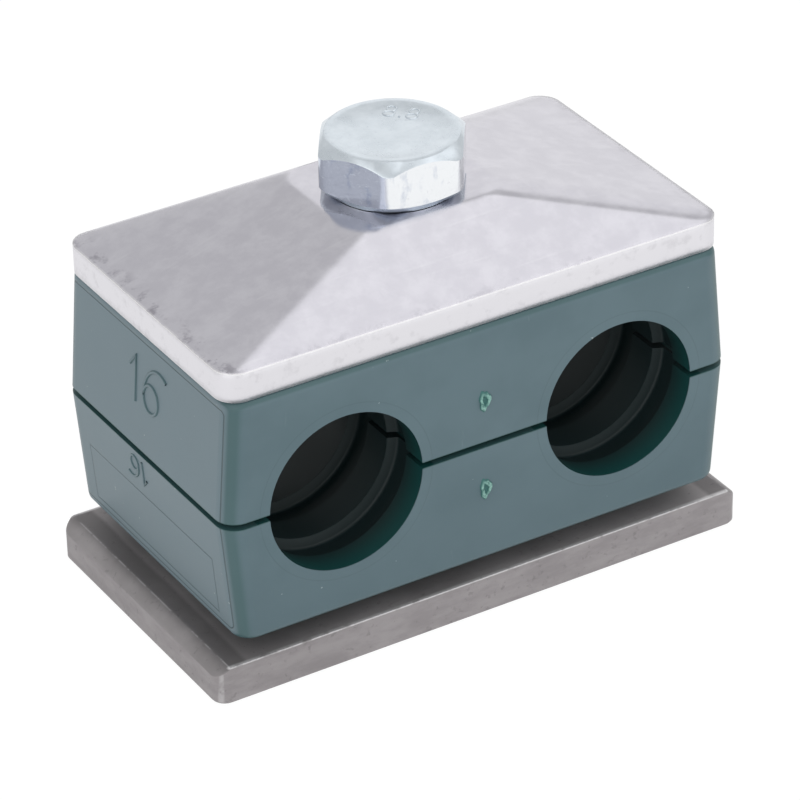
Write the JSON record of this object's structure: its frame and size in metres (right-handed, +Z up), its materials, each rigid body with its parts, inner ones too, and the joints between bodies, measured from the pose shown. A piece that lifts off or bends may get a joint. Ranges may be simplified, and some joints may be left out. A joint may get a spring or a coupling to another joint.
{
  "type": "twin tube clamp",
  "caption": "Clamp for two parallel hydraulic tubes: weld plate, two moulded halves with ribbed seats, pressed cover plate and one hex bolt.",
  "frame": {"origin": "centre of the underside of the weld plate", "axes": "+X across the two tubes, along the length of the clamp; +Y along the tubes; +Z up along the bolt, from the weld plate to the bolt head"},
  "size_m": [0.0566, 0.0304, 0.0436],
  "materials": {
    "weld_steel": "bare rolled steel with a thin grey film, sheared edges",
    "polypropylene": "semi-gloss moulded grey-green plastic",
    "plated_cover": "bright zinc plate on pressed sheet",
    "plated_bolt": "bright bluish zinc plate"
  },
  "bodies": {
    "base": {"weld_plate": "weld_steel", "lower_half": "polypropylene"},
    "jaw": {"upper_half": "polypropylene", "cover_plate": "plated_cover"},
    "bolt": {"hex_bolt": "plated_bolt"}
  },
  "joints": [
    {"name": "jaw_open", "type": "slide", "parent": "base", "child": "jaw", "axis": [0, 0, 1], "range_m": [0, 0.005]},
    {"name": "bolt_turn", "type": "hinge", "parent": "jaw", "child": "bolt", "pos_m": [0, 0, 0.0384], "axis": [0, 0, 1], "range_deg": [0, 1440]}
  ],
  "couplings": [
    {"joint": "bolt_turn", "follows": "jaw_open", "rad_per_m": 5026.5}
  ]
}
